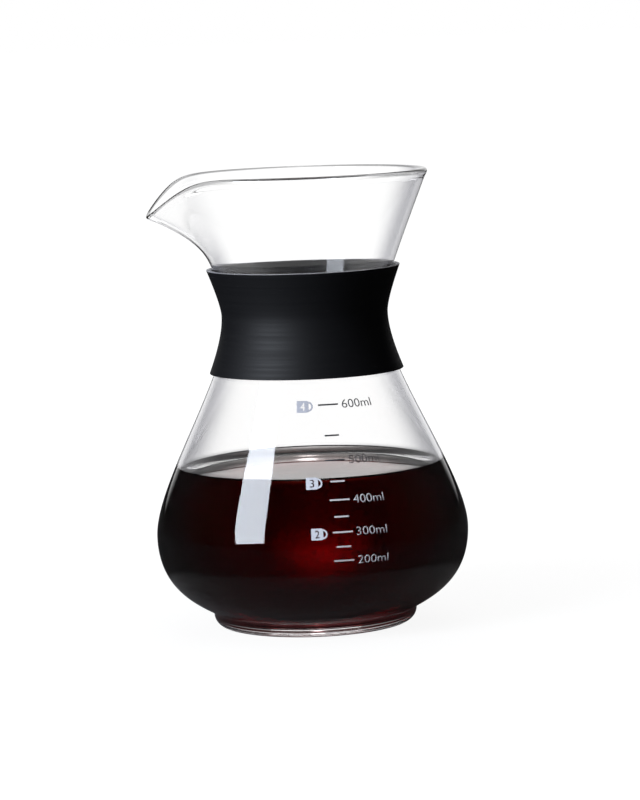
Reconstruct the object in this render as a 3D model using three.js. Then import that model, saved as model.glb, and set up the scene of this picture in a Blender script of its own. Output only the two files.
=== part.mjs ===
// A glass coffee server: a blown bulb on a thick foot, drawn in to a waist that wears a black silicone
// grip sleeve and flared to a wide mouth with one pulled pouring spout. It holds some black coffee, and
// a measuring scale is fired on the bulb in pale enamel.
import * as THREE from "three";
import { mergeVertices } from "three/addons/utils/BufferGeometryUtils.js";

// Sizes are in millimetres and angles in degrees. Heights are above the table, +Z is up, the spout
// points along -X and the middle of the scale faces -Y.

// Glass: foot, bulb, waist and mouth, all measured on the outer face.
const glassHeight = 168.5;
const glassWall = 1.9;
const footRadius = 37.9;
const footRounding = 4.5;
const footTurn = 12;
const puntRadius = 27;
const puntDepth = 1.2;
const bellyRadius = 58.1;
const bellyHeight = 34.5;
const waistRadius = 28.9;
const waistHeight = 116;
const mouthRadius = 46.9;
const mouthFlare = 20;

// How far each stretch of the blown outline runs on in its own direction before it turns.
const bowlStartAngle = 30;
const bowlStartRun = 7.9;
const bellyRunBelow = 19.4;
const bellyRunAbove = 19.7;
const waistRunBelow = 21.5;
const waistRunAbove = 9;
const mouthRun = 10.6;

// Inside floor of the bulb.
const floorHeight = 6.3;
const floorRadius = 29;
const floorRunShare = 0.62;
const bowlRunShare = 0.5;

// Spout, pulled out and down from the lip while the glass was hot.
const spoutReach = 57.3;
const spoutDrop = 13.5;
const spoutSlope = 25;
const spoutRootAboveSleeve = 0.8;
const spoutRootRun = 8.5;
const spoutTipRun = 16;
const spoutSpreadAtLip = 17;
const spoutSpreadAtRoot = 28;
const spoutSharpness = 1.4;
const spoutRowGather = 0.5;

// Silicone sleeve, stretched on over the mouth and held in the waist.
const sleeveBottom = 95;
const sleeveTop = 132.8;
const sleeveWallAtTop = 1.9;
const sleeveWallAtBottom = 1.3;
const sleeveClearance = 0.35;

// Coffee.
const coffeeLevel = 60.7;
const coffeeClearance = 0.3;

// Enamel scale: a long line at each hundred millilitres, a short one between, and three mug signs.
const scaleFirst = 200;
const scaleLast = 600;
const scaleStep = 50;
const longLine = 7.3;
const shortLine = 5.25;
const lineThickness = 0.55;
const mugMarks = { 300: 2, 450: 3, 600: 4 };
const mugOffset = 9.25;
const mugWidth = 4.3;
const mugHeight = 4.1;
const mugHandleRadius = 1.75;
const mugHandleBand = 0.6;
const enamelThickness = 0.12;
const enamelClearance = 0.12;

// Fineness of the round work, and of the long curves of the outline.
const roundSteps = 64;
const bowlSteps = 6;
const shoulderSteps = 12;
const mouthSteps = 6;

const radians = THREE.MathUtils.degToRad;
const point = (radius, height) => new THREE.Vector2(radius, height);
const heading = (angle) => point(Math.cos(radians(angle)), Math.sin(radians(angle)));

// Outline of the blown glass as three curves that meet at the belly and at the waist.
const footCentre = point(footRadius - footRounding, footRounding);
const crease = footCentre.clone().addScaledVector(heading(footTurn), footRounding);
const belly = point(bellyRadius, bellyHeight);
const waist = point(waistRadius, waistHeight);
const lipRadius = glassWall / 2;
const mouthAngle = 90 - mouthFlare;
const mouth = point(mouthRadius, glassHeight - lipRadius * (1 + Math.sin(radians(mouthFlare))));

const bowl = new THREE.CubicBezierCurve(
  crease,
  crease.clone().addScaledVector(heading(bowlStartAngle), bowlStartRun),
  point(bellyRadius, bellyHeight - bellyRunBelow),
  belly,
);
const shoulder = new THREE.CubicBezierCurve(
  belly,
  point(bellyRadius, bellyHeight + bellyRunAbove),
  point(waistRadius, waistHeight - waistRunBelow),
  waist,
);
const flare = new THREE.CubicBezierCurve(
  waist,
  point(waistRadius, waistHeight + waistRunAbove),
  mouth.clone().addScaledVector(heading(mouthAngle), -mouthRun),
  mouth,
);

// Inside of the bulb below the belly, which is thicker than the wall above it.
const innerBelly = point(bellyRadius - glassWall, bellyHeight);
const innerBowl = new THREE.CubicBezierCurve(
  point(floorRadius, floorHeight),
  point(THREE.MathUtils.lerp(floorRadius, innerBelly.x, floorRunShare), floorHeight),
  point(innerBelly.x, THREE.MathUtils.lerp(innerBelly.y, floorHeight, bowlRunShare)),
  innerBelly,
);

// A point on a rising curve, moved outwards from it by a distance.
function offsetPoint(curve, share, distance) {
  const along = curve.getTangent(share);
  return curve.getPoint(share).add(point(along.y, -along.x).multiplyScalar(distance));
}

// Points along part of a curve, moved outwards by a distance.
function offsetPoints(curve, distance, steps, from = 0, to = 1) {
  const shares = Array.from({ length: steps + 1 }, (_, i) => THREE.MathUtils.lerp(from, to, i / steps));
  return shares.map((share) => offsetPoint(curve, share, distance));
}

// The share of a rising curve at which it reaches a height.
function shareAtHeight(curve, height) {
  let low = 0;
  let high = 1;
  for (let i = 0; i < 40; i += 1) {
    const middle = (low + high) / 2;
    if (curve.getPoint(middle).y < height) low = middle;
    else high = middle;
  }
  return low;
}

// The curve of the outline that passes a height, with the number of straight steps it is drawn in.
function outlineAt(height) {
  if (height < bellyHeight) return [bowl, bowlSteps];
  return height < waistHeight ? [shoulder, shoulderSteps] : [flare, mouthSteps];
}

// A point beside the glass, at a height on its outer face and a distance from it.
function besideGlass(height, distance) {
  const [curve] = outlineAt(height);
  return offsetPoint(curve, shareAtHeight(curve, height), distance);
}

// The radius of the glass at a height, on the curve or on its straight step, whichever is larger.
function glassRadiusAt(height) {
  const [curve, steps] = outlineAt(height);
  const share = shareAtHeight(curve, height);
  const step = Math.min(Math.floor(share * steps), steps - 1);
  const low = curve.getPoint(step / steps);
  const high = curve.getPoint((step + 1) / steps);
  const stepRadius = THREE.MathUtils.mapLinear(height, low.y, high.y, low.x, high.x);
  return Math.max(curve.getPoint(share).x, stepRadius);
}

// Half of a round edge that joins one face of a wall to the other.
function roundEdge(from, to, steps) {
  const centre = from.clone().add(to).divideScalar(2);
  return Array.from({ length: steps - 1 }, (_, i) =>
    from.clone().rotateAround(centre, (Math.PI * (i + 1)) / steps),
  );
}

// A closed, welded solid without the empty triangles that a turned outline leaves on its axis.
function weld(geometry) {
  geometry.deleteAttribute("uv");
  geometry.deleteAttribute("normal");
  const welded = mergeVertices(geometry, 1e-4);
  const corners = welded.index.array;
  const kept = [];
  for (let i = 0; i < corners.length; i += 3) {
    const [a, b, c] = corners.slice(i, i + 3);
    if (a !== b && b !== c && c !== a) kept.push(a, b, c);
  }
  welded.setIndex(kept);
  welded.computeVertexNormals();
  return welded;
}

// Turns an outline about +Z. It runs up the outside and down the inside.
function turned(outline) {
  return new THREE.LatheGeometry(outline, roundSteps).rotateX(Math.PI / 2);
}

// The upper wall from the root of the spout over the lip and down inside, for one curve of its outer face.
function upperWall(curve, from) {
  const outer = offsetPoints(curve, 0, mouthSteps, from);
  const inner = offsetPoints(curve, -glassWall, mouthSteps, from);
  return [...outer, ...roundEdge(outer.at(-1), inner.at(-1), 4), ...inner.reverse()];
}

function glassGeometry() {
  const rootShare = shareAtHeight(flare, sleeveTop + spoutRootAboveSleeve);
  const root = flare.getPoint(rootShare);
  const rootHeading = flare.getTangent(rootShare);
  const tip = point(spoutReach, mouth.y - spoutDrop);
  const spout = new THREE.CubicBezierCurve(
    root,
    root.clone().addScaledVector(rootHeading, spoutRootRun),
    tip.clone().addScaledVector(heading(spoutSlope), -spoutTipRun),
    tip,
  );

  const punt = [0, 0.4, 0.75, 1].map((s) => point(puntRadius * s, puntDepth * (1 - s * s)));
  const foot = [-90, -65, -40, -15, footTurn].map((angle) =>
    footCentre.clone().addScaledVector(heading(angle), footRounding),
  );
  const below = [
    ...punt,
    ...foot,
    ...bowl.getPoints(bowlSteps).slice(1),
    ...shoulder.getPoints(shoulderSteps).slice(1),
    ...offsetPoints(flare, 0, 3, 0, rootShare).slice(1, -1),
  ];
  const inside = [
    ...offsetPoints(flare, -glassWall, 3, 0, rootShare).slice(1, -1).reverse(),
    ...offsetPoints(shoulder, -glassWall, shoulderSteps).reverse(),
    ...innerBowl.getPoints(bowlSteps).reverse().slice(1),
    point(0, floorHeight),
  ];
  const plainWall = upperWall(flare, rootShare);
  const spoutWall = upperWall(spout, 0);
  const outline = [...below, ...plainWall, ...inside];
  const geometry = turned(outline);

  // Each upright row of the upper wall is drawn part of the way towards the spout, most at its middle.
  // Towards the lip the rows gather at the spout, where the glass turns most sharply.
  const places = geometry.getAttribute("position");
  const middle = (plainWall.length - 1) / 2;
  for (let row = 0; row <= roundSteps; row += 1) {
    const evenTurn = (row / roundSteps) * 2 * Math.PI + Math.PI / 2;
    plainWall.forEach((plain, station) => {
      const upness = 1 - Math.abs(station - middle) / middle;
      const gathered = evenTurn - spoutRowGather * upness * Math.sin(evenTurn);
      const fromSpout = Math.acos(THREE.MathUtils.clamp(Math.cos(gathered), -1, 1));
      const spread = radians(THREE.MathUtils.lerp(spoutSpreadAtRoot, spoutSpreadAtLip, upness));
      const share = Math.exp(-((fromSpout / spread) ** spoutSharpness));
      const drawn = plain.clone().lerp(spoutWall[station], share);
      const index = row * outline.length + below.length + station;
      places.setXYZ(index, -drawn.x * Math.cos(gathered), -drawn.x * Math.sin(gathered), drawn.y);
    });
  }
  return weld(geometry);
}

function sleeveGeometry() {
  const shares = Array.from({ length: 11 }, (_, i) => i / 10);
  const height = (share) => THREE.MathUtils.lerp(sleeveBottom, sleeveTop, share);
  const wall = (share) => THREE.MathUtils.lerp(sleeveWallAtBottom, sleeveWallAtTop, share);
  const outer = shares.map((share) => besideGlass(height(share), sleeveClearance + wall(share)));
  const inner = shares.map((share) => besideGlass(height(share), sleeveClearance)).reverse();
  const topEdge = roundEdge(outer.at(-1), inner[0], 4);
  const bottomEdge = roundEdge(inner.at(-1), outer[0], 4);
  return weld(turned([...outer, ...topEdge, ...inner, ...bottomEdge, outer[0]]));
}

function coffeeGeometry() {
  const side = [
    ...offsetPoints(innerBowl, -coffeeClearance, bowlSteps),
    ...offsetPoints(shoulder, -glassWall - coffeeClearance, shoulderSteps).slice(1),
  ];
  const above = side.findIndex((p) => p.y > coffeeLevel);
  const last = side[above - 1];
  const share = (coffeeLevel - last.y) / (side[above].y - last.y);
  const edge = last.clone().lerp(side[above], share);
  return weld(turned([point(0, side[0].y), ...side.slice(0, above), edge, point(0, coffeeLevel)]));
}

// The height up to which the inside of the bulb holds a number of millilitres.
function heightHolding(millilitres) {
  const side = [
    ...innerBowl.getPoints(60),
    ...offsetPoints(shoulder, -glassWall, 120).slice(1),
    ...offsetPoints(flare, -glassWall, 60).slice(1),
  ];
  let held = 0;
  for (let i = 1; i < side.length; i += 1) {
    const a = side[i - 1];
    const b = side[i];
    const layer = ((b.y - a.y) * Math.PI * (a.x * a.x + a.x * b.x + b.x * b.x)) / 3000;
    if (held + layer >= millilitres) return THREE.MathUtils.lerp(a.y, b.y, (millilitres - held) / layer);
    held += layer;
  }
  return glassHeight;
}

// Lays a flat drawing, x along the girth and y up, on the outside of the bulb about a height.
function onGlass(geometry, height) {
  const girthRadius = glassRadiusAt(height);
  const places = geometry.getAttribute("position");
  for (let i = 0; i < places.count; i += 1) {
    const turn = places.getX(i) / girthRadius;
    const level = height + places.getY(i);
    const radius = glassRadiusAt(level) + enamelClearance + places.getZ(i);
    places.setXYZ(i, radius * Math.sin(turn), -radius * Math.cos(turn), level);
  }
  return weld(geometry);
}

function lineGeometry(millilitres) {
  const length = millilitres % 100 === 0 ? longLine : shortLine;
  const bar = new THREE.BoxGeometry(length, lineThickness, enamelThickness, 4, 1, 1);
  return onGlass(bar.translate(0, 0, enamelThickness / 2), heightHolding(millilitres));
}

// A mug seen from the side: a square body with a round handle on its right.
function mugGeometry(millilitres) {
  const left = -mugOffset - mugWidth / 2;
  const right = left + mugWidth;
  const half = mugHeight / 2;
  const mug = new THREE.Shape();
  mug.moveTo(left, -half);
  mug.lineTo(right, -half);
  mug.absarc(right, 0, mugHandleRadius, -Math.PI / 2, Math.PI / 2);
  mug.lineTo(right, half);
  mug.lineTo(left, half);
  mug.closePath();
  const hole = new THREE.Path();
  hole.absarc(right + mugHandleBand / 2, 0, mugHandleRadius - mugHandleBand, -Math.PI / 2, Math.PI / 2);
  hole.closePath();
  mug.holes.push(hole);
  const plate = new THREE.ExtrudeGeometry(mug, {
    depth: enamelThickness,
    bevelEnabled: false,
    curveSegments: 8,
  });
  return onGlass(plate, heightHolding(millilitres));
}

function piece(name, geometry, material) {
  const mesh = new THREE.Mesh(geometry, material);
  mesh.name = name;
  return mesh;
}

const clearGlass = new THREE.MeshStandardMaterial({
  color: 0xf4f7f8,
  roughness: 0.02,
  metalness: 0,
  transparent: true,
  opacity: 0.3,
});
const blackSilicone = new THREE.MeshStandardMaterial({ color: 0x161619, roughness: 0.55, metalness: 0 });
const blackCoffee = new THREE.MeshStandardMaterial({ color: 0x1c0503, roughness: 0.05, metalness: 0 });
const paleEnamel = new THREE.MeshStandardMaterial({ color: 0xc9ccd2, roughness: 0.4, metalness: 0 });

const server = new THREE.Group();
server.name = "coffee_server";
server.add(piece("glass_body", glassGeometry(), clearGlass));
server.add(piece("grip_sleeve", sleeveGeometry(), blackSilicone));
server.add(piece("coffee", coffeeGeometry(), blackCoffee));
for (let millilitres = scaleFirst; millilitres <= scaleLast; millilitres += scaleStep) {
  server.add(piece(`scale_line_${millilitres}`, lineGeometry(millilitres), paleEnamel));
}
for (const [millilitres, mugs] of Object.entries(mugMarks)) {
  server.add(piece(`mug_mark_${mugs}`, mugGeometry(Number(millilitres)), paleEnamel));
}

export default server;
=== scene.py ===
import math
import bmesh
import bpy
from mathutils import Matrix, Vector
from mathutils.geometry import interpolate_bezier
from mathutils.kdtree import KDTree


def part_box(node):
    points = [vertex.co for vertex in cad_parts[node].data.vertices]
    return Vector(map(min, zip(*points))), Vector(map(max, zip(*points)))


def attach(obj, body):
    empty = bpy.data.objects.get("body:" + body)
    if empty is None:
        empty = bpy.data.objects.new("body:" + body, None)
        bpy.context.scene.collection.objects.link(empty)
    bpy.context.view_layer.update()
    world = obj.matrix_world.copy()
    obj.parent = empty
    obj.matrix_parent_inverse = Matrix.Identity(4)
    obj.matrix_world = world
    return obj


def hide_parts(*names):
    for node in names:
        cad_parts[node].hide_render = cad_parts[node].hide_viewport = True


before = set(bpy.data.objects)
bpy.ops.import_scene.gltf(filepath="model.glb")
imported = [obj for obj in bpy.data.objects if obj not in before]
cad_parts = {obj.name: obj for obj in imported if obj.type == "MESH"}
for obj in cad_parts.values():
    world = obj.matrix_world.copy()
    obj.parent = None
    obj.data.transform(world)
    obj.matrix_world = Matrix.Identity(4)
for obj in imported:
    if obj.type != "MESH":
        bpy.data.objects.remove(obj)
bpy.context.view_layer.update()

scene = bpy.context.scene


# The glass body is one piece of clear heat-proof glass, blown into a bulb on a thick foot and drawn in
# to a waist. The lip is melted round, and the spout was pulled out and down while it was hot.
glass_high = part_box("glass_body")[1]
coffee_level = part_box("coffee")[1].z
glass_wall = 0.0019
glass_steps = 280
touching = 1e-6
foot_radius = 0.0379
foot_rounding = 0.0045
foot_turn = math.radians(12)
foot_edge_steps = 10
punt_radius = 0.027
punt_depth = 0.0012
punt_shares = (0, 0.2, 0.4, 0.6, 0.8, 0.92, 1)
bowl_slope_at_foot = math.radians(30)
bowl_pull_at_foot = 0.0079
bowl_pull_at_belly = 0.0194
bowl_points = 32
belly_radius = glass_high.x
belly_height = 0.0345
shoulder_pull_at_belly = 0.0197
shoulder_pull_at_waist = 0.0215
shoulder_points = 48
waist_radius = 0.0289
waist_height = 0.116
flare_pull_at_waist = 0.009
flare_pull_at_mouth = 0.0106
flare_points = 40
mouth_radius = 0.0469
mouth_flare = math.radians(20)
floor_height = 0.0063
floor_radius = 0.029
floor_flatness = 0.62
spout_root_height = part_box("grip_sleeve")[1].z + 0.0004
spout_reach = 0.0573
spout_drop = 0.0135
spout_slope = math.radians(25)
spout_pull_at_root = 0.0085
spout_pull_at_tip = 0.016
spout_spread_at_root = math.radians(26.3)
spout_spread_at_lip = math.radians(15.3)
spout_softness = math.radians(2)
spout_sharpness = 1.4
spout_row_gather = 0.6
spout_lip_wall = 0.0015
spout_lip_bead = 0.0009
lip_bead = 0.0012


def point(radius, height):
    return Vector((radius, 0, height))


def heading(angle):
    return Vector((math.cos(angle), 0, math.sin(angle)))


def beside(curve, gap):
    """The points of a rising curve, moved outwards from it by a gap."""
    moved = []
    for i, here in enumerate(curve):
        along = (curve[min(i + 1, len(curve) - 1)] - curve[max(i - 1, 0)]).normalized()
        moved.append(here + gap * Vector((along.z, 0, -along.x)))
    return moved


def cut_at_height(curve, height):
    """A rising curve's points below a height and above it, with a point at that height in both."""
    first_above = next(i for i, here in enumerate(curve) if here.z > height)
    low, high = curve[first_above - 1], curve[first_above]
    level = low.lerp(high, (height - low.z) / (high.z - low.z))
    return curve[:first_above] + [level], [level] + curve[first_above:]


def radius_at(curve, height):
    return cut_at_height(curve, height)[0][-1].x


def turned(outline, steps):
    """A bmesh of an outline turned round the upright axis, closed and facing outwards."""
    bm = bmesh.new()
    corners = [bm.verts.new(here) for here in outline]
    sides = [bm.edges.new(pair) for pair in zip(corners, corners[1:])]
    bmesh.ops.spin(
        bm, geom=corners + sides, cent=(0, 0, 0), axis=(0, 0, 1),
        angle=2 * math.pi, steps=steps, use_merge=True,
    )
    bmesh.ops.remove_doubles(bm, verts=bm.verts, dist=touching)
    bmesh.ops.recalc_face_normals(bm, faces=bm.faces)
    for face in bm.faces:
        face.smooth = True
    return bm


def fitted(name, bm, body, material):
    """An object of a bmesh that rides on a body and wears a material."""
    mesh = bpy.data.meshes.new(name)
    bm.to_mesh(mesh)
    bm.free()
    mesh.materials.append(material)
    piece = bpy.data.objects.new(name, mesh)
    scene.collection.objects.link(piece)
    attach(piece, body)
    return piece


foot_centre = point(foot_radius - foot_rounding, foot_rounding)
crease = foot_centre + foot_rounding * heading(foot_turn)
belly = point(belly_radius, belly_height)
waist = point(waist_radius, waist_height)
mouth = point(mouth_radius, glass_high.z - glass_wall / 2 * (1 + math.sin(mouth_flare)))
bowl = interpolate_bezier(
    crease,
    crease + bowl_pull_at_foot * heading(bowl_slope_at_foot),
    belly - point(0, bowl_pull_at_belly),
    belly,
    bowl_points,
)
shoulder = interpolate_bezier(
    belly,
    belly + point(0, shoulder_pull_at_belly),
    waist - point(0, shoulder_pull_at_waist),
    waist,
    shoulder_points,
)
flare = interpolate_bezier(
    waist,
    waist + point(0, flare_pull_at_waist),
    mouth - flare_pull_at_mouth * heading(math.pi / 2 - mouth_flare),
    mouth,
    flare_points,
)
inner_belly = point(belly_radius - glass_wall, belly_height)
inner_floor = point(floor_radius, floor_height)
inner_bowl = interpolate_bezier(
    inner_floor,
    point(inner_floor.x + floor_flatness * (inner_belly.x - inner_floor.x), floor_height),
    point(inner_belly.x, (floor_height + belly_height) / 2),
    inner_belly,
    bowl_points,
)
inner_shoulder = beside(shoulder, -glass_wall)

neck, plain_wall = cut_at_height(flare, spout_root_height)
root = plain_wall[0]
tip = point(spout_reach, mouth.z - spout_drop)
spout_wall = interpolate_bezier(
    root,
    root + spout_pull_at_root * (plain_wall[1] - root).normalized(),
    tip - spout_pull_at_tip * heading(spout_slope),
    tip,
    len(plain_wall),
)


def over_the_lip(outer, lip_wall, bead, swelling_rows=3, swelling_steps=8, round_steps=20):
    """A wall's outer points, over a lip that melted into a round bead, and its inner points down again."""
    inner = []
    for i, (here, inwards) in enumerate(zip(outer, beside(outer, -1))):
        wall = glass_wall + i / (len(outer) - 1) * (lip_wall - glass_wall)
        inner.append(here + wall * (inwards - here))
    along = (outer[-1] - outer[-2]).normalized()
    across = Vector((along.z, 0, -along.x))
    centre = (outer[-1] + inner[-1]) / 2 - (bead - lip_wall / 2) * along
    outer, inner = outer[:-swelling_rows], inner[:-swelling_rows]
    start = (outer[-1] + inner[-1]) / 2
    for i in range(1, swelling_steps + 1):
        share = i / swelling_steps
        half = lip_wall / 2 + share * share * (3 - 2 * share) * (bead - lip_wall / 2)
        outer.append(start.lerp(centre, share) + half * across)
        inner.append(start.lerp(centre, share) - half * across)
    turns = [math.pi * i / round_steps for i in range(1, round_steps)]
    over = [centre + bead * (math.cos(turn) * across + math.sin(turn) * along) for turn in turns]
    return outer + over + inner[::-1]


plain_wall = over_the_lip(plain_wall, glass_wall, lip_bead)
spout_wall = over_the_lip(spout_wall, spout_lip_wall, spout_lip_bead)
under_foot = [point(punt_radius * share, punt_depth * (1 - share * share)) for share in punt_shares]
foot_edge = []
for i in range(foot_edge_steps + 1):
    rise = -math.pi / 2 + i / foot_edge_steps * (math.pi / 2 + foot_turn)
    foot_edge.append(foot_centre + foot_rounding * heading(rise))
bm = turned(
    under_foot + foot_edge + bowl[1:] + shoulder[1:] + neck[1:-1] + plain_wall
    + beside(neck, -glass_wall)[1:-1][::-1] + inner_shoulder[::-1] + inner_bowl[:-1][::-1]
    + [point(0, floor_height)],
    glass_steps,
)

# The upright rows stand closer together at the spout, and the upper wall is drawn part of the way to it,
# most at its middle. The "pulled" mark says how far, and there the painted edge shade is weaker, because
# the glass is thin and clear, but for the spout's keel. The lip is marked for a painted dark shade where
# it is seen at a slant.
spout_clear_pull = 0.003
spout_keel_spread = math.radians(5)
lip_rows = 10
lip_painted_shade = 0.75
stations = KDTree(len(plain_wall))
for i, here in enumerate(plain_wall):
    stations.insert(here, i)
stations.balance()
pulled = bm.verts.layers.float.new("pulled")
painted_slant_shade = bm.verts.layers.float.new("painted_slant_shade")
for vert in bm.verts:
    from_spout = math.atan2(vert.co.y, -vert.co.x)
    from_spout -= spout_row_gather * math.sin(from_spout)
    wall_point = point(math.hypot(vert.co.x, vert.co.y), vert.co.z)
    _, station, gap = stations.find(wall_point)
    if gap < touching:
        upness = min((plain_wall[station].z - root.z) / (mouth.z - root.z), 1)
        spread = spout_spread_at_root + upness * (spout_spread_at_lip - spout_spread_at_root)
        softened = math.hypot(from_spout, spout_softness) - spout_softness
        share = math.exp(-((softened / spread) ** spout_sharpness))
        wall_point = plain_wall[station].lerp(spout_wall[station], share)
        pull = min((wall_point - plain_wall[station]).length / spout_clear_pull, 1)
        keel = math.exp(-((from_spout / spout_keel_spread) ** 2))
        vert[pulled] = pull * (1 - keel)
        # The lip's rows take a painted dark shade.
        if abs(station - (len(plain_wall) - 1) / 2) < lip_rows:
            vert[painted_slant_shade] = lip_painted_shade
    vert.co = (-wall_point.x * math.cos(from_spout), wall_point.x * math.sin(from_spout), wall_point.z)

# The "backed" mark is on the glass that coffee lies against, which hardly mirrors. The wet wall takes the
# painted dark shade where it is seen at a slant, as the lip does. The upper side of the foot is marked for
# a painted dark red, standing in for the coffee above it that is seen through the glass.
wet_outside_painted_shade = 0.8
painted_coffee_start = 0.0019
painted_coffee_fade = 0.0014
outer_outline = bowl + shoulder[1:] + flare[1:]
backed = bm.verts.layers.float.new("backed")
painted_coffee_tint = bm.verts.layers.float.new("painted_coffee_tint")
for vert in bm.verts:
    # A painted dark red on the upper side of the foot, for the coffee seen through it, fading in above a
    # height.
    if vert.co.xy.length > punt_radius and vert.co.z < crease.z + touching:
        vert[painted_coffee_tint] = min(max((vert.co.z - painted_coffee_start) / painted_coffee_fade, 0), 1)
    if floor_height - touching < vert.co.z < coffee_level:
        outer_radius = radius_at(outer_outline, max(vert.co.z, crease.z + touching))
        inside = vert.co.xy.length < outer_radius - glass_wall / 2
        vert[backed] = float(inside)
        vert[painted_slant_shade] = 1 if inside else wet_outside_painted_shade


def set_or_join(tree, socket, value):
    """Gives a socket a number or a colour, or joins it to another socket."""
    if isinstance(value, bpy.types.NodeSocket):
        tree.links.new(value, socket)
    else:
        socket.default_value = value


def mark_on_mesh(tree, name):
    node = tree.nodes.new("ShaderNodeAttribute")
    node.attribute_name = name
    return node.outputs["Fac"]


def reckon(tree, operation, first, second):
    node = tree.nodes.new("ShaderNodeMath")
    node.operation = operation
    set_or_join(tree, node.inputs[0], first)
    set_or_join(tree, node.inputs[1], second)
    return node.outputs["Value"]


def ramp(tree, value, low, high, start=0, end=1, curve="SMOOTHSTEP"):
    """A number that goes from start to end while a value goes from low to high."""
    node = tree.nodes.new("ShaderNodeMapRange")
    node.interpolation_type = curve
    tree.links.new(value, node.inputs["Value"])
    for name, number in (("From Min", low), ("From Max", high), ("To Min", start), ("To Max", end)):
        node.inputs[name].default_value = number
    return node.outputs["Result"]


def blend(tree, share, first, second, kind="RGBA"):
    """The first of two colours, or of two numbers, going over to the second by a share."""
    node = tree.nodes.new("ShaderNodeMix")
    node.data_type = kind
    first_socket, second_socket, result = {"RGBA": (6, 7, 2), "FLOAT": (2, 3, 0)}[kind]
    tree.links.new(share, node.inputs["Factor"])
    set_or_join(tree, node.inputs[first_socket], first)
    set_or_join(tree, node.inputs[second_socket], second)
    return node.outputs[result]


# The glass's colour holds a painted shade at its edges: it turns grey where a face is seen at a slant.
# How far a face is turned from the eye goes from 0, square to it, to 1, edge on. The painted shade starts
# sooner on the thick wall than on the pulled spout.
thick_edge_start, thick_edge_full = 0.34, 0.72
thin_edge_start, thin_edge_full = 0.55, 0.85
slant_start, slant_full = 0.08, 0.28
painted_edge_shade_colour = (0.45, 0.45, 0.48, 1)
painted_slant_shade_colour = (0.03, 0.03, 0.03, 1)
painted_coffee_colour = (0.012, 0.0006, 0.0006, 1)

clear_glass = bpy.data.materials.new("clear_glass")
clear_glass.use_nodes = True
tree = clear_glass.node_tree
shader = tree.nodes["Principled BSDF"]
shader.inputs["Roughness"].default_value = 0
shader.inputs["IOR"].default_value = 1.47
shader.inputs["Transmission Weight"].default_value = 1
layer = tree.nodes.new("ShaderNodeLayerWeight")
layer.inputs["Blend"].default_value = 0.5
turned_away = layer.outputs["Facing"]
thick_edge = reckon(
    tree, "MULTIPLY", ramp(tree, turned_away, thick_edge_start, thick_edge_full),
    reckon(tree, "SUBTRACT", 1, mark_on_mesh(tree, "pulled")),
)
thin_edge = ramp(tree, turned_away, thin_edge_start, thin_edge_full)
# A painted near-black shade on the lip and the wet wall, where they are seen at a slant.
slant = reckon(
    tree, "MULTIPLY", ramp(tree, turned_away, slant_start, slant_full), mark_on_mesh(tree, "painted_slant_shade")
)
tint = blend(tree, reckon(tree, "MAXIMUM", thick_edge, thin_edge), (1, 1, 1, 1), painted_edge_shade_colour)
tint = blend(tree, slant, tint, painted_slant_shade_colour)
# Painted dark red on the foot's upper side, standing in for the coffee seen through the glass.
tint = blend(tree, mark_on_mesh(tree, "painted_coffee_tint"), tint, painted_coffee_colour)
tree.links.new(tint, shader.inputs["Base Color"])
mirroring = reckon(tree, "SUBTRACT", 1, mark_on_mesh(tree, "backed"))
tree.links.new(mirroring, shader.inputs["Specular Tint"])
smoke = tree.nodes.new("ShaderNodeVolumeAbsorption")
smoke.inputs["Color"].default_value = (0.04, 0.06, 0.08, 1)
smoke.inputs["Density"].default_value = 2
tree.links.new(smoke.outputs["Volume"], tree.nodes["Material Output"].inputs["Volume"])
glass_body = fitted("blown_glass", bm, "server", clear_glass)
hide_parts("glass_body")


# The coffee fills the lower bulb and wets its wall, which it climbs in the curved rim that surface
# tension draws up. It is dark and clear, and lets only deep red through.
coffee_wetting = 0.00006
rim_above_level = -0.0006
rim_lean = math.radians(75)
rim_points = 40
rim_gather = 1.5
capillary_length = 0.0027


def rim_curve(lean):
    """How far from the flat surface a liquid has climbed, and gone outwards, where it leans so much."""
    climb = 2 * capillary_length * math.sin(lean / 2)
    outwards = capillary_length * (2 * math.cos(lean / 2) + math.log(math.tan(lean / 4)))
    return point(outwards, climb)


wet_side = beside(inner_bowl, coffee_wetting)[:-1] + beside(inner_shoulder, coffee_wetting)
wet_side, _ = cut_at_height(wet_side, coffee_level + rim_above_level)
rim = wet_side[-1]
surface = []
for i in range(1, rim_points):
    lean = rim_lean * (1 - i / rim_points) ** rim_gather
    surface.append(rim - rim_curve(rim_lean) + rim_curve(lean))
bm = turned([point(0, wet_side[0].z)] + wet_side + surface + [point(0, surface[-1].z)], glass_steps)

black_coffee = bpy.data.materials.new("black_coffee")
black_coffee.use_nodes = True
tree = black_coffee.node_tree
shader = tree.nodes["Principled BSDF"]
shader.inputs["Base Color"].default_value = (1, 1, 1, 1)
shader.inputs["Roughness"].default_value = 0
shader.inputs["IOR"].default_value = 1.333
shader.inputs["Transmission Weight"].default_value = 1
shader.inputs["Specular Tint"].default_value = (0, 0, 0, 1)
depth = tree.nodes.new("ShaderNodeVolumeAbsorption")
depth.inputs["Color"].default_value = (0.61, 0.1, 0.0, 1)
depth.inputs["Density"].default_value = 123
tree.links.new(depth.outputs["Volume"], tree.nodes["Material Output"].inputs["Volume"])
coffee = fitted("coffee_in_bulb", bm, "server", black_coffee)
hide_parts("coffee")


# The grip sleeve is a band of black silicone, moulded to the waist and stretched on over the mouth. Its
# wall is thicker at the top, and both its ends are cut square with softened edges.
sleeve_low, sleeve_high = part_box("grip_sleeve")
sleeve_clearance = 0.00035
sleeve_wall_at_bottom = 0.0013
sleeve_wall_at_top = 0.0019
sleeve_edge = 0.00018
sleeve_steps = 192
ring_scale = (9, 9, 900)
ring_dark = (0.0016, 0.0016, 0.0021, 1)
ring_light = (0.003, 0.003, 0.0039, 1)
# A painted highlight: the black silicone is pale grey along its top cut end, as a lit line.
painted_edge_highlight_colour = (0.2, 0.2, 0.21, 1)

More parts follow.
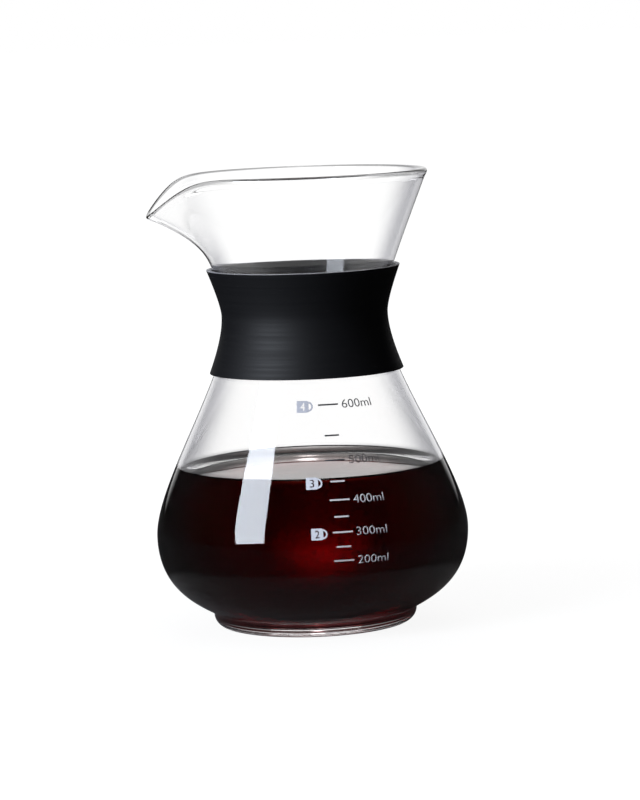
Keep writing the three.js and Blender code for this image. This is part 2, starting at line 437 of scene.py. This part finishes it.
waist_outline = shoulder + flare[1:]
outer = []
for here, outwards in zip(waist_outline, beside(waist_outline, 1)):
    share = (here.z - sleeve_low.z) / (sleeve_high.z - sleeve_low.z)
    wall = sleeve_wall_at_bottom + share * (sleeve_wall_at_top - sleeve_wall_at_bottom)
    outer.append(here + (sleeve_clearance + wall) * (outwards - here))
sides = []
for side in (outer, beside(waist_outline, sleeve_clearance)):
    side = cut_at_height(side, sleeve_low.z)[1]
    sides.append(cut_at_height(side, sleeve_high.z)[0])
outer, inner = sides
bm = turned(outer + inner[::-1] + [outer[0]], sleeve_steps)
ends = [
    e for e in bm.edges
    if all(min(abs(v.co.z - sleeve_low.z), abs(v.co.z - sleeve_high.z)) < touching for v in e.verts)
    and abs(e.verts[0].co.xy.length - e.verts[1].co.xy.length) < touching
]
bmesh.ops.bevel(
    bm, geom=ends, offset=sleeve_edge, offset_type="OFFSET", affect="EDGES",
    segments=3, profile=0.5, material=-1,
)
for face in bm.faces:
    face.smooth = True

black_silicone = bpy.data.materials.new("black_silicone")
black_silicone.use_nodes = True
tree = black_silicone.node_tree
shader = tree.nodes["Principled BSDF"]
shader.inputs["Specular IOR Level"].default_value = 0.25
place = tree.nodes.new("ShaderNodeTexCoord")
rings = tree.nodes.new("ShaderNodeMapping")
rings.inputs["Scale"].default_value = ring_scale
tree.links.new(place.outputs["Object"], rings.inputs["Vector"])
ring_noise = tree.nodes.new("ShaderNodeTexNoise")
ring_noise.inputs["Scale"].default_value = 1
ring_noise.inputs["Detail"].default_value = 3
tree.links.new(rings.outputs["Vector"], ring_noise.inputs["Vector"])
ring_shade = blend(tree, ring_noise.outputs["Fac"], ring_dark, ring_light)
split = tree.nodes.new("ShaderNodeSeparateXYZ")
tree.links.new(place.outputs["Object"], split.inputs["Vector"])
# The base colour turns pale along the top edge, a painted highlight.
cut_end = ramp(
    tree, split.outputs["Z"], sleeve_high.z - sleeve_edge, sleeve_high.z - sleeve_edge / 2, curve="LINEAR"
)
tree.links.new(blend(tree, cut_end, ring_shade, painted_edge_highlight_colour), shader.inputs["Base Color"])
ring_roughness = ramp(tree, ring_noise.outputs["Fac"], 0.3, 0.7, 0.66, 0.54, "LINEAR")
tree.links.new(ring_roughness, shader.inputs["Roughness"])
ring_bump = tree.nodes.new("ShaderNodeBump")
ring_bump.inputs["Strength"].default_value = 0.15
ring_bump.inputs["Distance"].default_value = 0.0001
tree.links.new(ring_noise.outputs["Fac"], ring_bump.inputs["Height"])
tree.links.new(ring_bump.outputs["Normal"], shader.inputs["Normal"])
sleeve = fitted("silicone_sleeve", bm, "sleeve", black_silicone)
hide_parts("grip_sleeve")


# The scale is pale enamel, printed on the bulb and fired. Its lines are the measured ones, with the
# volume beside each long line, and three mug signs with their number left clear in the print.
enamel_thickness = 0.00012
enamel_gap = 0.00008
enamel_mottle = 1500
numeral_width = 0.0118
numeral_height = 0.0029
numeral_start = 0.0051
numeral_weight = -0.006
mug_start = -0.0114
mug_width = 0.0043
mug_height = 0.0041
mug_corner = 0.0007
mug_below_line = 0.0004
mug_number_height = 0.0027
mug_number_width = 0.0016
mug_number_weight = 0.003
mug_grid = 0.0006
mug_grid_lines = range(-20, 5)
handle_radius = 0.00175
handle_band = 0.0006
handle_overlap = 0.0002
handle_steps = 12

# One enamel, with its shade painted by height for this coffee level: a pale copy over the coffee and a
# dark copy over the clear glass, as the light shows it there. It is also mottled a little.
painted_print_shade_and_mottle = bpy.data.node_groups.new("painted_print_shade_and_mottle", "ShaderNodeTree")
for socket, way in (("Over Coffee", "INPUT"), ("Over Clear Glass", "INPUT"), ("Color", "OUTPUT")):
    painted_print_shade_and_mottle.interface.new_socket(socket, in_out=way, socket_type="NodeSocketColor")
shades = painted_print_shade_and_mottle.nodes.new("NodeGroupInput")
print_colour = painted_print_shade_and_mottle.nodes.new("NodeGroupOutput")
place = painted_print_shade_and_mottle.nodes.new("ShaderNodeTexCoord")
split = painted_print_shade_and_mottle.nodes.new("ShaderNodeSeparateXYZ")
painted_print_shade_and_mottle.links.new(place.outputs["Object"], split.inputs["Vector"])
over_clear_glass = ramp(
    painted_print_shade_and_mottle, split.outputs["Z"],
    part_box("scale_line_450")[1].z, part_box("scale_line_500")[0].z - numeral_height / 2, curve="LINEAR",
)
shade = blend(
    painted_print_shade_and_mottle, over_clear_glass, shades.outputs["Over Coffee"], shades.outputs["Over Clear Glass"]
)
mottle = painted_print_shade_and_mottle.nodes.new("ShaderNodeTexNoise")
mottle.inputs["Scale"].default_value = enamel_mottle
painted_print_shade_and_mottle.links.new(place.outputs["Object"], mottle.inputs["Vector"])
thinned = painted_print_shade_and_mottle.nodes.new("ShaderNodeVectorMath")
thinned.operation = "SCALE"
painted_print_shade_and_mottle.links.new(shade, thinned.inputs["Vector"])
painted_print_shade_and_mottle.links.new(
    ramp(painted_print_shade_and_mottle, mottle.outputs["Fac"], 0.3, 0.7, 0.85, 1, "LINEAR"), thinned.inputs["Scale"]
)
painted_print_shade_and_mottle.links.new(thinned.outputs["Vector"], print_colour.inputs["Color"])


def enamel(name, over_coffee, over_clear_glass):
    material = bpy.data.materials.new(name)
    material.use_nodes = True
    tree = material.node_tree
    shader = tree.nodes["Principled BSDF"]
    shader.inputs["Roughness"].default_value = 0.45
    fired = tree.nodes.new("ShaderNodeGroup")
    fired.node_tree = painted_print_shade_and_mottle
    fired.inputs["Over Coffee"].default_value = over_coffee
    fired.inputs["Over Clear Glass"].default_value = over_clear_glass
    tree.links.new(fired.outputs["Color"], shader.inputs["Base Color"])
    return material


# Each print has a painted pale shade over the coffee and a painted dark shade over the clear glass.
enamel_line = enamel("enamel_line", (0.5, 0.5, 0.52, 1), (0.035, 0.035, 0.04, 1))
enamel_numeral = enamel("enamel_numeral", (0.42, 0.42, 0.45, 1), (0.035, 0.035, 0.04, 1))
enamel_mug = enamel("enamel_mug", (0.5, 0.52, 0.58, 1), (0.36, 0.37, 0.42, 1))


def lettering(words, weight, left, width, height):
    """A flat bmesh of words, of a size and place along the x axis."""
    curve = bpy.data.curves.new("lettering", "FONT")
    curve.body = words
    curve.offset = weight
    curve.resolution_u = 6
    curve.fill_mode = "FRONT"
    letters = bpy.data.objects.new("lettering", curve)
    scene.collection.objects.link(letters)
    bpy.context.view_layer.update()
    mesh = bpy.data.meshes.new_from_object(letters.evaluated_get(bpy.context.evaluated_depsgraph_get()))
    bm = bmesh.new()
    bm.from_mesh(mesh)
    bpy.data.objects.remove(letters)
    bpy.data.curves.remove(curve)
    bpy.data.meshes.remove(mesh)
    bmesh.ops.remove_doubles(bm, verts=bm.verts, dist=1e-5)
    low = [min(v.co[i] for v in bm.verts) for i in range(2)]
    high = [max(v.co[i] for v in bm.verts) for i in range(2)]
    for vert in bm.verts:
        across, up = ((vert.co[i] - low[i]) / (high[i] - low[i]) for i in range(2))
        vert.co = (left + across * width, (up - 0.5) * height, 0)
    return bm


def printed(name, bm, height, material):
    """Makes a flat drawing, x along the girth and y up, a thin print on the bulb about a height."""
    for made in bmesh.ops.extrude_face_region(bm, geom=bm.faces[:])["geom"]:
        if isinstance(made, bmesh.types.BMVert):
            made.co.z = enamel_thickness
    bmesh.ops.recalc_face_normals(bm, faces=bm.faces)
    girth_radius = radius_at(outer_outline, height)
    for vert in bm.verts:
        turn = vert.co.x / girth_radius
        level = height + vert.co.y
        radius = radius_at(outer_outline, level) + enamel_gap + vert.co.z
        vert.co = (radius * math.sin(turn), -radius * math.cos(turn), level)
    return fitted(name, bm, "server", material)


for name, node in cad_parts.items():
    if name.startswith("scale_line_"):
        node.data.materials.clear()
        node.data.materials.append(enamel_line)

for volume in (200, 300, 400, 500, 600):
    line_low, line_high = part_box(f"scale_line_{volume}")
    bm = lettering(f"{volume}ml", numeral_weight, numeral_start, numeral_width, numeral_height)
    printed(f"numeral_{volume}", bm, (line_low.z + line_high.z) / 2, enamel_numeral)

# A mug sign is filled between its own outline and its number's, and its handle is a half ring. It is cut
# into small squares, so that it can bend round the bulb.
mug_right = mug_start + mug_width
mug_middle = mug_start + mug_width / 2
for mugs in (2, 3, 4):
    mark_low, mark_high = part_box(f"mug_mark_{mugs}")
    bm = lettering(
        str(mugs), mug_number_weight, mug_middle - mug_number_width / 2, mug_number_width, mug_number_height
    )
    bmesh.ops.delete(bm, geom=[e for e in bm.edges if not e.is_boundary], context="EDGES")
    bmesh.ops.delete(bm, geom=bm.faces[:], context="FACES_ONLY")
    plate = bmesh.ops.create_grid(
        bm, x_segments=1, y_segments=1, size=0.5,
        matrix=Matrix.Translation((mug_middle, 0, 0)) @ Matrix.Diagonal((mug_width, mug_height, 1, 1)),
    )["verts"]
    bmesh.ops.bevel(
        bm, geom=[v for v in plate if v.co.x > mug_middle], offset=mug_corner, affect="VERTICES",
        segments=4, profile=0.5, material=-1,
    )
    bmesh.ops.delete(bm, geom=bm.faces[:], context="FACES_ONLY")
    bmesh.ops.triangle_fill(bm, use_beauty=True, edges=bm.edges[:], normal=(0, 0, 1))
    handle_centre = Vector((mug_right - handle_overlap, 0, 0))
    handle_end = [
        bm.verts.new(handle_centre - Vector((0, reach, 0)))
        for reach in (handle_radius - handle_band, handle_radius)
    ]
    bmesh.ops.spin(
        bm, geom=handle_end + [bm.edges.new(handle_end)], cent=handle_centre, axis=(0, 0, 1),
        angle=math.pi, steps=handle_steps, use_merge=False,
    )
    for across in (Vector((1, 0, 0)), Vector((0, 1, 0))):
        for i in mug_grid_lines:
            bmesh.ops.bisect_plane(
                bm, geom=bm.verts[:] + bm.edges[:] + bm.faces[:],
                plane_co=across * i * mug_grid, plane_no=across,
            )
    mark = printed(f"mug_{mugs}", bm, (mark_low.z + mark_high.z) / 2 - mug_below_line, enamel_mug)
    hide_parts(f"mug_mark_{mugs}")


# The studio's floor is plain white, with the server's soft shadow on it. Mirrored in the glass, it is
# dim, and a little lighter close to the foot.
floor_size = 40
floor_colour = (0.08, 0.08, 0.08, 1)
floor_shadow_start = 0.05
floor_shadow_reach = 0.45
floor_glow_near = 0.91
floor_mirrored_start = 0.08
floor_mirrored_reach = 0.1
floor_mirrored_near = 0.09
floor_mirrored_far = 0.02
white_through_glass = 1.12

bm = bmesh.new()
bmesh.ops.create_grid(bm, x_segments=1, y_segments=1, size=floor_size / 2)
floor_mesh = bpy.data.meshes.new("floor")
bm.to_mesh(floor_mesh)
bm.free()
floor = bpy.data.objects.new("floor", floor_mesh)
scene.collection.objects.link(floor)

floor_paint = bpy.data.materials.new("white_floor")
floor_paint.use_nodes = True
tree = floor_paint.node_tree
tree.nodes.clear()
ray = tree.nodes.new("ShaderNodeLightPath")
place = tree.nodes.new("ShaderNodeTexCoord")
length = tree.nodes.new("ShaderNodeVectorMath")
length.operation = "LENGTH"
tree.links.new(place.outputs["Object"], length.inputs[0])
distance = length.outputs["Value"]
mirrored = ramp(
    tree, distance, floor_mirrored_start, floor_mirrored_reach, floor_mirrored_near, floor_mirrored_far
)
matt = tree.nodes.new("ShaderNodeBsdfDiffuse")
tree.links.new(blend(tree, ray.outputs["Is Glossy Ray"], floor_colour, mirrored), matt.inputs["Color"])
seen = reckon(
    tree, "MULTIPLY", ray.outputs["Is Camera Ray"],
    ramp(tree, distance, floor_shadow_start, floor_shadow_reach, floor_glow_near, 1),
)
white = blend(tree, ray.outputs["Is Transmission Ray"], seen, white_through_glass, "FLOAT")
glow = tree.nodes.new("ShaderNodeEmission")
glow.inputs["Color"].default_value = (1, 1, 1, 1)
tree.links.new(white, glow.inputs["Strength"])
both = tree.nodes.new("ShaderNodeAddShader")
tree.links.new(matt.outputs["BSDF"], both.inputs[0])
tree.links.new(glow.outputs["Emission"], both.inputs[1])
output = tree.nodes.new("ShaderNodeOutputMaterial")
tree.links.new(both.outputs["Shader"], output.inputs["Surface"])
floor_mesh.materials.append(floor_paint)


# The sky is white. Mirrored in the glass, only the backdrop behind the server is, and the room is dark.
# Seen through the glass, it is white too, but dimmer overhead and on the camera's side.
camera_turn = math.radians(-10.85)
room_light = 0.45
room_mirrored = 0.006
room_through_glass = 0.15
room_full, room_end = -0.85, -0.35
ceiling_through_glass = 0.6
ceiling_start = math.radians(20)
ceiling_full = math.radians(50)
backdrop_rise = math.radians(12)
backdrop_spread = math.radians(20)
backdrop_end = math.radians(34)

sky = bpy.data.worlds.new("studio")
sky.use_nodes = True
scene.world = sky
tree = sky.node_tree
tree.nodes.clear()
ray = tree.nodes.new("ShaderNodeLightPath")
way = tree.nodes.new("ShaderNodeTexCoord")
towards = tree.nodes.new("ShaderNodeVectorMath")
towards.operation = "DOT_PRODUCT"
towards.inputs[1].default_value = (
    -math.sin(camera_turn) * math.cos(backdrop_rise),
    math.cos(camera_turn) * math.cos(backdrop_rise),
    math.sin(backdrop_rise),
)
tree.links.new(way.outputs["Generated"], towards.inputs[0])
to_backdrop = towards.outputs["Value"]
split = tree.nodes.new("ShaderNodeSeparateXYZ")
tree.links.new(way.outputs["Generated"], split.inputs["Vector"])
mirrored = ramp(tree, to_backdrop, math.cos(backdrop_end), math.cos(backdrop_spread), room_mirrored, 1)
ceiling = ramp(
    tree, split.outputs["Z"], math.sin(ceiling_start), math.sin(ceiling_full),
    white_through_glass, ceiling_through_glass,
)
room = ramp(tree, to_backdrop, room_full, room_end, room_through_glass, 1)
strength = blend(tree, ray.outputs["Is Glossy Ray"], room_light, mirrored, "FLOAT")
strength = blend(
    tree, ray.outputs["Is Transmission Ray"], strength, reckon(tree, "MULTIPLY", ceiling, room), "FLOAT"
)
strength = blend(tree, ray.outputs["Is Camera Ray"], strength, 1, "FLOAT")
backing = tree.nodes.new("ShaderNodeBackground")
backing.inputs["Color"].default_value = (1, 1, 1, 1)
tree.links.new(strength, backing.inputs["Strength"])
output = tree.nodes.new("ShaderNodeOutputWorld")
tree.links.new(backing.outputs["Background"], output.inputs["Surface"])


# Four lamps: an upright softbox on the front left that is mirrored in the bulb as a white strip, a wide
# soft panel overhead, one high behind that lights the coffee's rim, and a small one low behind that shines
# through the coffee as a red glow with a soft edge.
def softbox(name, turn, reach, height, width, tall, brightness, aim):
    """A square lamp at a turn from the front, whose face has a brightness where white is 1."""
    lamp = bpy.data.lights.new(name, "AREA")
    lamp.shape = "RECTANGLE"
    lamp.size = width
    lamp.size_y = tall
    lamp.energy = brightness * math.pi * width * tall
    lamp_object = bpy.data.objects.new(name, lamp)
    lamp_object.location = (reach * math.sin(turn), -reach * math.cos(turn), height)
    facing = Vector((0, 0, aim)) - lamp_object.location
    lamp_object.rotation_euler = facing.to_track_quat("-Z", "Y").to_euler()
    lamp_object.visible_camera = False
    scene.collection.objects.link(lamp_object)
    return lamp_object


strip_lamp = softbox(
    "strip_lamp", turn=math.radians(-59.5), reach=1.0, height=0.48,
    width=0.44, tall=0.70, brightness=19, aim=0.06,
)
strip_lamp.data.color = (0.84, 0.9, 1)
strip_lamp.rotation_euler.rotate_axis("Z", math.radians(8))
top_lamp = softbox(
    "top_lamp", turn=math.radians(20), reach=0.25, height=1.4,
    width=1.1, tall=1.1, brightness=1.2, aim=0.05,
)
back_lamp = softbox(
    "back_lamp", turn=camera_turn + math.pi, reach=1.1, height=0.62,
    width=0.8, tall=0.4, brightness=6, aim=0.06,
)
glow_lamp = softbox(
    "glow_lamp", turn=camera_turn + math.pi + 0.006, reach=0.15, height=0.0202,
    width=0.015, tall=0.04, brightness=27, aim=0.0202,
)
for lamp in (top_lamp, back_lamp, glow_lamp):
    lamp.visible_glossy = False

glow_lamp.data.use_nodes = True
tree = glow_lamp.data.node_tree
face = tree.nodes.new("ShaderNodeNewGeometry")
from_middle = tree.nodes.new("ShaderNodeVectorMath")
from_middle.operation = "DISTANCE"
from_middle.inputs[1].default_value = (0.5, 0.5, 0)
tree.links.new(face.outputs["Parametric"], from_middle.inputs[0])
inwards = ramp(tree, from_middle.outputs["Value"], 0.5, 0, curve="LINEAR")
tree.links.new(reckon(tree, "POWER", inwards, 3), tree.nodes["Emission"].inputs["Strength"])


# The camera stands a little over a metre in front of the server, left of the middle of its scale and
# just above its mouth, with a long lens, and leans a little to the right. Clear glass and coffee need many
# turns of a ray of light.
camera_distance = 1.295
camera_height = 0.2294
camera_pitch = math.radians(6.44)
camera_yaw = math.radians(0.2)
camera_lean = math.radians(2.11)
camera_data = bpy.data.cameras.new("camera")
camera_data.sensor_width = 36
camera_data.lens = 157.5
camera = bpy.data.objects.new("camera", camera_data)
camera.location = (
    camera_distance * math.sin(camera_turn),
    -camera_distance * math.cos(camera_turn),
    camera_height,
)
camera.rotation_euler = (
    Matrix.Rotation(camera_turn - camera_yaw, 3, "Z")
    @ Matrix.Rotation(math.pi / 2 - camera_pitch, 3, "X")
    @ Matrix.Rotation(-camera_lean, 3, "Z")
).to_euler()
scene.collection.objects.link(camera)
scene.camera = camera
scene.view_settings.view_transform = "Standard"
scene.cycles.max_bounces = 24
scene.cycles.transmission_bounces = 24
scene.cycles.glossy_bounces = 12
scene.cycles.sample_clamp_indirect = 4
scene.cycles.denoising_input_passes = "RGB"
